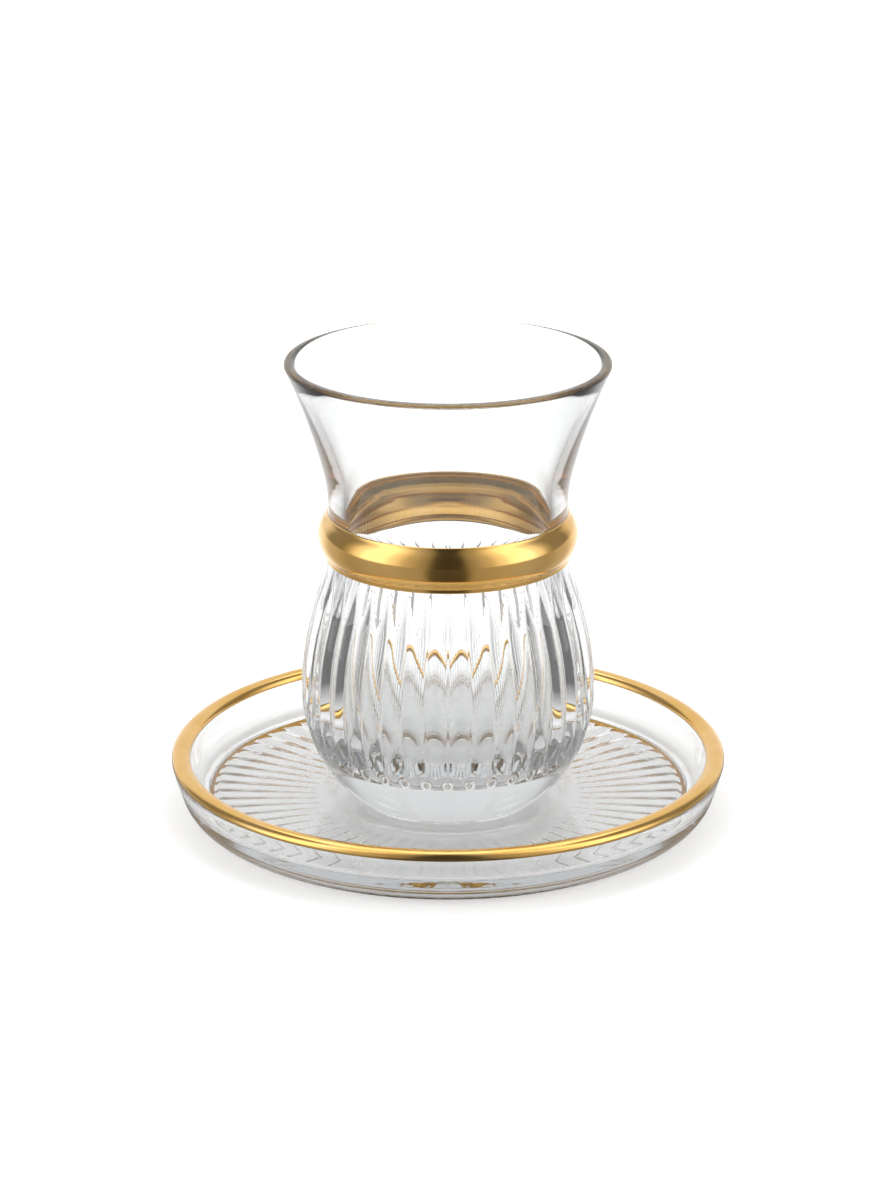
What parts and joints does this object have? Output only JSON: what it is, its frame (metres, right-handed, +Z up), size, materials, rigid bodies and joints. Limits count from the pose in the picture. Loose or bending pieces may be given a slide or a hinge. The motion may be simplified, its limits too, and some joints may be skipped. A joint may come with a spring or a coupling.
{
  "type": "turkish tea glass with saucer",
  "caption": "Waisted clear drinking glass with a ribbed round belly and a gilded bead, standing on a shallow cut-glass saucer with a gilded rim.",
  "frame": {"origin": "centre of the saucer's standing ring, on the table", "axes": "+Z up along the shared axis of glass and saucer; X and Y are alike"},
  "size_m": [0.11, 0.11, 0.0913],
  "materials": {
    "clear_glass": "clear, polished",
    "saucer_glass": "clear, polished, cut underneath",
    "gilding": "polished gold"
  },
  "bodies": {
    "root": {"glass": "clear_glass", "gilt_band": "gilding", "saucer": "saucer_glass", "gilt_rim": "gilding"}
  },
  "joints": []
}
